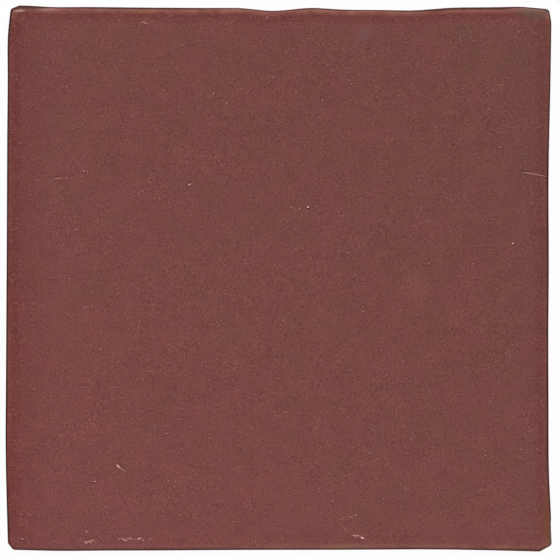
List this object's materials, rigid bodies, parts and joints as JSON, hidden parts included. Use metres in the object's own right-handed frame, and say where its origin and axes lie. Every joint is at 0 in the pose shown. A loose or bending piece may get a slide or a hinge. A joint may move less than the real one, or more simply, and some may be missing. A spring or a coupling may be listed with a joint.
{
  "type": "ceramic wall tile",
  "caption": "Square ceramic wall tile with a plain satin-matt glazed face, wavy hand-trimmed edges, rolled arrises and a shallow keyed back.",
  "frame": {"origin": "middle of the tile's plan box, on the plane of its back", "axes": "+Z out of the glazed face, +Y towards the head of the tile, +X to the right when facing the tile"},
  "size_m": [0.1299, 0.1298, 0.009],
  "materials": {
    "glazed_clay": "satin"
  },
  "bodies": {
    "root": {"tile": "glazed_clay"}
  },
  "joints": []
}
